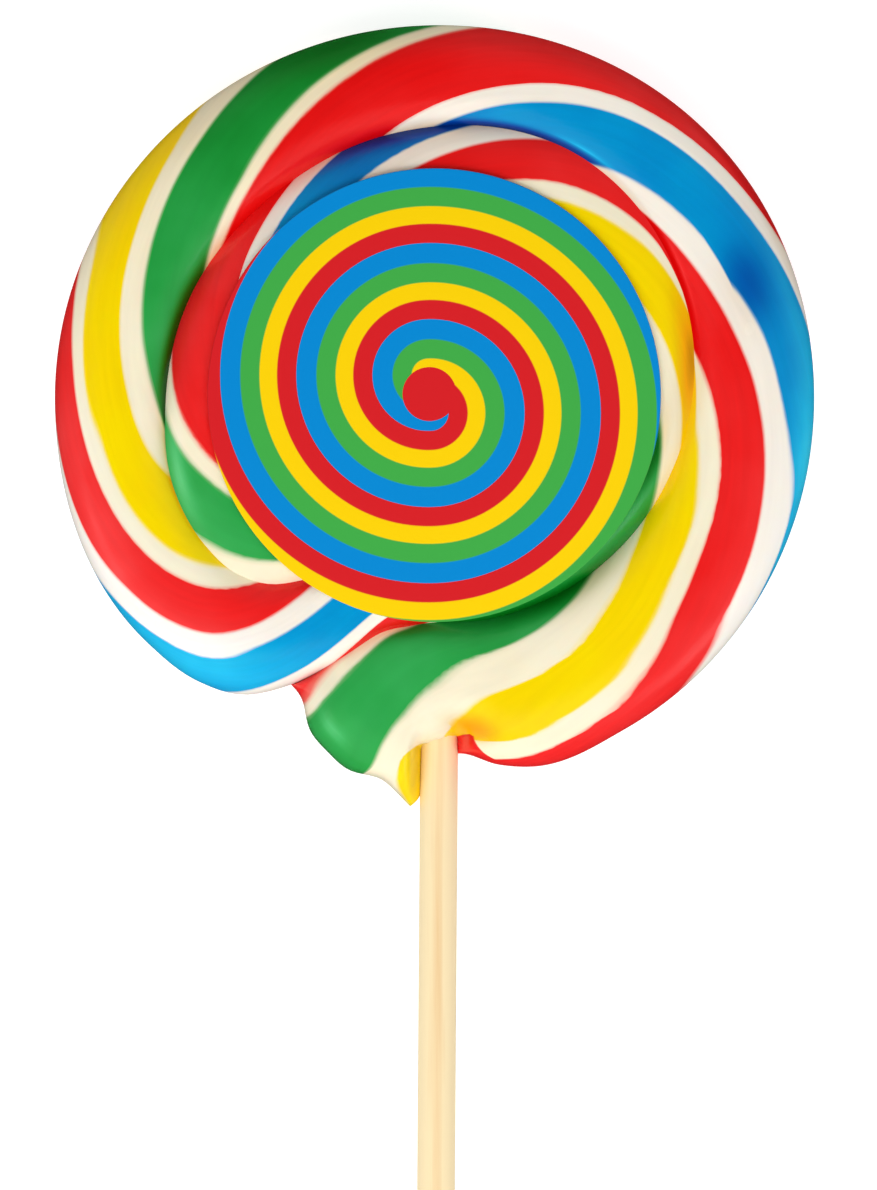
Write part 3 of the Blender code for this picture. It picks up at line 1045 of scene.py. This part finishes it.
    def hole(self, tree: Tree, given: dict[str, Field]) -> Field:
        """Adds the rod that cuts the stick's hole.

        Args:
            tree: The tree to add it to.
            given: The tree's inputs.

        Returns:
            The rod as a mesh.
        """
        sizes = {"Vertices": self.hole_sides, "Radius": given["Hole radius"], "Depth": self.hole_length}
        rod = tree.field("GeometryNodeMeshCylinder", sizes, fill_type="NGON")
        y = self.stick_tip + self.hole_spare - self.hole_length / 2.0
        x = self.lip_x + math.tan(self.stick_lean) * (y - self.lip_y)
        turn = (math.pi / 2.0, 0.0, -self.stick_lean)
        laid = {"Geometry": rod, "Translation": (x, y, self.waist), "Rotation": turn}
        return tree.field("GeometryNodeTransform", laid)

    def rope_tree(self, settings: dict[str, tuple[str, Value]]) -> bpy.types.NodeTree:
        """Writes the tree that makes the rope along its rail.

        Args:
            settings: The tree's inputs besides the rail.

        Returns:
            The tree.
        """
        group = bpy.data.node_groups.new("fused_rope", "GeometryNodeTree")
        group.interface.new_socket("Rail", in_out="INPUT", socket_type="NodeSocketGeometry")
        for name, (kind, _) in settings.items():
            group.interface.new_socket(name, in_out="INPUT", socket_type=kind)
        group.interface.new_socket("Candy", in_out="OUTPUT", socket_type="NodeSocketGeometry")
        tree = Tree(group)
        start = tree.add("NodeGroupInput")
        given = {out.name: Field(tree, out) for out in start.outputs if out.name}
        joined = tree.add("GeometryNodeJoinGeometry")
        for side in ("Under", "Top"):
            tree.plug(joined.inputs[0], self.sheet(tree, given, side))
        close = {"Geometry": joined.outputs[0], "Distance": given["Weld distance"]}
        welded = tree.field("GeometryNodeMergeByDistance", close)
        parts = {"Mesh 1": welded, "Mesh 2": self.hole(tree, given)}
        bored = tree.add("GeometryNodeMeshBoolean", parts, operation="DIFFERENCE", solver="EXACT")
        real = tree.field("GeometryNodeRealizeInstances", {"Geometry": bored.outputs["Mesh"]})
        dressed = tree.field("GeometryNodeSetMaterial", {"Geometry": real, "Material": given["Sugar"]})
        tree.plug(tree.add("NodeGroupOutput").inputs["Candy"], dressed)
        return group

    def map_stripes(self, mesh: bpy.types.Mesh) -> None:
        """Writes the maps that the finish reads: the place in the pattern, the smears and the dye's depth,
        which holds painted shade and painted highlights.

        Args:
            mesh: The candy's mesh, with the rope map and the mark of its underside.
        """
        stripes = self.finish.stripes
        coil, across = read(mesh.uv_layers["rope"].uv, "vector", 2).T.astype(float)
        point_of = read(mesh.loops, "vertex_index", kind=np.int32)
        height = read(mesh.vertices, "co", 3)[point_of, 2].astype(float)
        below = read(mesh.attributes["under"].data, "value")
        sides = read(mesh.polygons, "loop_total", kind=np.int32)
        first = np.concatenate(([0], np.cumsum(sides)[:-1]))
        past_wall = np.minimum.reduceat(coil, first) > self.tail_start + self.tail_wall
        under = np.repeat((below > 0.5) & past_wall, sides)
        sunk = np.clip(1.0 - height / self.waist, 0.0, 1.0)
        wound = coil + stripes.under_crossing * across + stripes.wall_slant * sunk**2
        phase_coil, phase_across = np.where(under, wound, coil), np.where(under, 0.0, across)
        phase = stripes.phase(phase_coil, phase_across, self.coil_end + TURN)
        along = np.where(under, -across, across)
        layer = mesh.uv_layers.new(name="stripes")
        layer.uv.foreach_set("vector", np.stack((phase, along), axis=1).astype(np.float32).ravel())
        # the dye's depth, with painted shade in creases and under the label and painted highlights at glints
        depth = mesh.attributes.new("depth", "FLOAT", "CORNER")
        depth.data.foreach_set("value", stripes.depth(coil, across).astype(np.float32))
        covers = [np.where(under, -smear.farthest, smear.inside(coil, across)) for smear in stripes.smears]
        smears = mesh.attributes.new("smears", "FLOAT_VECTOR", "CORNER")
        smears.data.foreach_set("vector", np.stack(covers, axis=1).astype(np.float32).ravel())
        mesh.uv_layers.remove(mesh.uv_layers["rope"])
        for name in ("coil", "across", "under"):
            mesh.attributes.remove(mesh.attributes[name])

    def build(self) -> bpy.types.Object:
        """Builds the candy.

        Returns:
            The finished piece.
        """
        rail, per_turn = self.rail()
        settings = self.settings(per_turn)
        group = self.rope_tree(settings)
        modifier = rail.modifiers.new("rope", "NODES")
        modifier.node_group = group
        for item in group.interface.items_tree:
            if item.in_out == "INPUT" and item.name in settings:
                modifier[item.identifier] = settings[item.name][1]
        evaluated = rail.evaluated_get(bpy.context.evaluated_depsgraph_get())
        mesh = bpy.data.meshes.new_from_object(evaluated)
        mesh.name = "candy_swirl"
        rail.modifiers.remove(modifier)
        bpy.data.objects.remove(rail)
        self.map_stripes(mesh)
        mesh.shade_smooth()
        mesh.set_sharp_from_angle(angle=self.sharp)
        return new_piece("candy_swirl", mesh, "candy")


@dataclass
class BirchStick:
    """The round stick, laid along Y with its inner end in the candy."""

    finish: Birch
    radius: float
    length: float
    tip: Vector  # the middle of its inner end
    lean: float
    rounding: float = 0.5 * MM  # of its ends
    rounding_rings: int = 5
    ring_step: float = 2.5 * MM
    sides: int = 48

    def build(self) -> bpy.types.Object:
        """Builds the stick, turned upright and then laid down.

        Returns:
            The finished piece.
        """
        curve = [
            (self.radius - self.rounding * (1.0 - math.sin(a)), self.rounding * (1.0 - math.cos(a)))
            for a in np.linspace(0.0, math.pi / 2.0, self.rounding_rings)
        ]
        count = round((self.length - 2.0 * self.rounding) / self.ring_step)
        straight = np.linspace(self.rounding, self.length - self.rounding, count)[1:-1]
        rings = curve + [(self.radius, z) for z in straight]
        rings += [(r, self.length - z) for r, z in reversed(curve)]
        mesh = turned_mesh("stick_rod", rings, self.sides)
        points = np.empty(len(mesh.vertices) * 3)
        mesh.vertices.foreach_get("co", points)
        x, y, z = points.reshape(-1, 3).T
        laid = np.stack((self.tip.x + x - math.tan(self.lean) * z, self.tip.y - z, self.tip.z + y), axis=1)
        mesh.vertices.foreach_set("co", laid.ravel())
        # how far aside each point is, which the finish uses for painted light on the sides
        flank = np.abs(x / self.radius).astype(np.float32)
        mesh.attributes.new("flank", "FLOAT", "POINT").data.foreach_set("value", flank)
        mesh.materials.append(self.finish.make())
        return new_piece("stick_rod", mesh, "stick")


@dataclass
class SwirlLabel:
    """The round label, printed on its face."""

    face: SwirlPrint
    edge: CardEdge
    radius: float
    centre: Vector  # the middle of its printed face
    thickness: float = 0.65 * MM
    rounding: float = 0.08 * MM  # of its cut edges
    sides: int = 192
    inner_ring: float = 0.5  # share of the radius
    sharp: float = math.radians(30.0)  # the angle from which an edge looks sharp

    def build(self) -> bpy.types.Object:
        """Builds the label.

        Returns:
            The finished piece.
        """
        bottom, flat, inner = -self.thickness, self.radius - self.rounding, self.radius * self.inner_ring
        rings = [(inner, bottom), (flat, bottom), (self.radius, bottom + self.rounding)]
        rings += [(self.radius, -self.rounding), (flat, 0.0), (inner, 0.0)]
        mesh = turned_mesh("label_disc", rings, self.sides)
        mesh.transform(Matrix.Translation(self.centre))
        mesh.materials.append(self.face.make())
        mesh.materials.append(self.edge.make())
        for polygon in mesh.polygons:
            polygon.material_index = 0 if polygon.normal.z > 0.5 else 1
        mesh.set_sharp_from_angle(angle=self.sharp)
        return new_piece("label_disc", mesh, "label")


@dataclass(frozen=True)
class Lamp:
    """A soft square light that faces the candy."""

    name: str
    azimuth: float  # its direction from the candy, in degrees anticlockwise from +X
    elevation: float  # its height over the horizon, in degrees
    side: float
    power: float  # watts
    glint: bool = False  # whether it only makes glints. Else it only lights
    distance: float = 0.5

    def hang(self) -> None:
        """Hangs the light."""
        lamp = bpy.data.lights.new(self.name, "AREA")
        lamp.size, lamp.energy = self.side, self.power
        turn, rise = math.radians(self.azimuth), math.radians(self.elevation)
        away = Vector((math.cos(turn) * math.cos(rise), math.sin(turn) * math.cos(rise), math.sin(rise)))
        hung = put(self.name, lamp)
        hung.location = away * self.distance
        hung.rotation_euler = away.to_track_quat("Z", "Y").to_euler()
        hung.visible_glossy, hung.visible_diffuse = self.glint, not self.glint


@dataclass
class Studio:
    """A pale floor, soft light and a camera that looks straight down."""

    lamps: tuple[Lamp, ...] = (
        Lamp("key_left", 228.0, 55.0, 0.4, 1.4),
        Lamp("key_right", 312.0, 55.0, 0.4, 1.05),
        Lamp("fill_back", 85.0, 48.0, 0.5, 0.46),
        Lamp("glint_left", 203.0, 28.0, 0.2, 0.11, glint=True),
        Lamp("glint_right", 318.0, 18.0, 0.2, 0.2, glint=True),
    )
    middle: tuple[float, float] = (0.42 * MM, -23.0 * MM)  # of the view
    view_height: float = 141.85 * MM  # what the view shows at the level of the candy's rim
    level: float = 5.8 * MM
    distance: float = 1.5
    sensor: float = 36.0
    wall: float = 0.5  # brightness of the room's walls
    ceiling: float = 0.03
    wall_reach: tuple[float, float] = (0.52, 0.775)  # 0 is straight down and 1 straight up
    dark_reach: tuple[float, float] = (0.46, 0.95)  # below and above it the room is dim
    clip: tuple[float, float] = (0.01, 10.0)  # what the camera sees lies between these distances
    back_dimming: float = 0.65  # how much dimmer the wall behind the candy is than the one before it
    floor_reach: float = 3.0
    floor_height: float = -0.02 * MM
    floor_greys: tuple[float, float] = (0.52, 0.54)
    floor_tones: tuple[float, float] = (0.3, 0.7)  # where the grain is darkest and palest
    floor_grain: float = 40.0  # to a metre
    floor_glow: float = 0.78
    floor_roughness: float = 0.9

    def floor(self) -> None:
        """Lays the floor."""
        paint = Paint("floor")
        grain = paint.noise(paint.place(), self.floor_grain)
        greys = ((grey,) * 3 for grey in self.floor_greys)
        paint.drive(Base_Color=paint.ramp(grain, list(zip(self.floor_tones, greys))))
        paint.drive(Roughness=self.floor_roughness, Specular_IOR_Level=0.0)
        paint.drive(Emission_Color=(1.0, 1.0, 1.0, 1.0), Emission_Strength=self.floor_glow)
        mesh = bpy.data.meshes.new("floor")
        turns = ((-1, -1), (1, -1), (1, 1), (-1, 1))
        corners = [(x * self.floor_reach, y * self.floor_reach, self.floor_height) for x, y in turns]
        mesh.from_pydata(corners, [], [(0, 1, 2, 3)])
        mesh.materials.append(paint.material)
        floor = put("floor", mesh)
        floor.visible_glossy = False

    def camera(self) -> None:
        """Sets the camera above the candy."""
        lens = bpy.data.cameras.new("camera")
        lens.sensor_width = self.sensor
        lens.lens = self.sensor * self.distance / self.view_height
        lens.clip_start, lens.clip_end = self.clip
        camera = put("camera", lens)
        camera.location = (*self.middle, self.level + self.distance)
        bpy.context.scene.camera = camera

    def sky(self) -> None:
        """Lights the room's walls softly and keeps its ceiling dim, so that flat glossy faces stay clear."""
        world = bpy.data.worlds.new("studio")
        world.use_nodes = True
        tree = Tree(world.node_tree)
        _, back, up = tree.split(tree.add("ShaderNodeTexCoord").outputs["Generated"])
        dark, bright = (self.ceiling,) * 3, (self.wall,) * 3
        stops = [(place, bright) for place in self.wall_reach] + [(place, dark) for place in self.dark_reach]
        shade = tree.ramp(up * 0.5 + 0.5, sorted(stops))
        background = world.node_tree.nodes["Background"]
        tree.plug(background.inputs["Color"], shade)
        tree.plug(background.inputs["Strength"], 1.0 - (back * 0.5 + 0.5).clamped() * self.back_dimming)
        bpy.context.scene.world = world

    def build(self) -> None:
        """Sets up the studio."""
        self.floor()
        self.camera()
        for lamp in self.lamps:
            lamp.hang()
        self.sky()
        bpy.context.scene.view_settings.view_transform = "Standard"


def main() -> None:
    """Builds the lollipop and the studio around it."""
    logging.basicConfig(level=logging.INFO, format="%(name)s %(message)s")
    _, candy_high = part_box("candy")
    stick_low, stick_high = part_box("stick")
    label_low, label_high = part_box("label")
    stick_radius = (stick_high.z - stick_low.z) / 2.0
    candy = SwirlCandy(HardCandy(Stripes()), stick_radius, candy_high.z)
    candy.build()
    tip_x = candy.lip_x + math.tan(candy.stick_lean) * (candy.stick_tip - candy.lip_y)
    tip = Vector((tip_x, stick_high.y, (stick_low.z + stick_high.z) / 2.0))
    BirchStick(Birch(), stick_radius, stick_high.y - stick_low.y, tip, candy.stick_lean).build()
    centre = Vector(((label_low.x + label_high.x) / 2.0, (label_low.y + label_high.y) / 2.0, label_high.z))
    SwirlLabel(SwirlPrint(), CardEdge(), (label_high.x - label_low.x) / 2.0, centre).build()
    Studio().build()


if __name__ == "__main__":
    main()
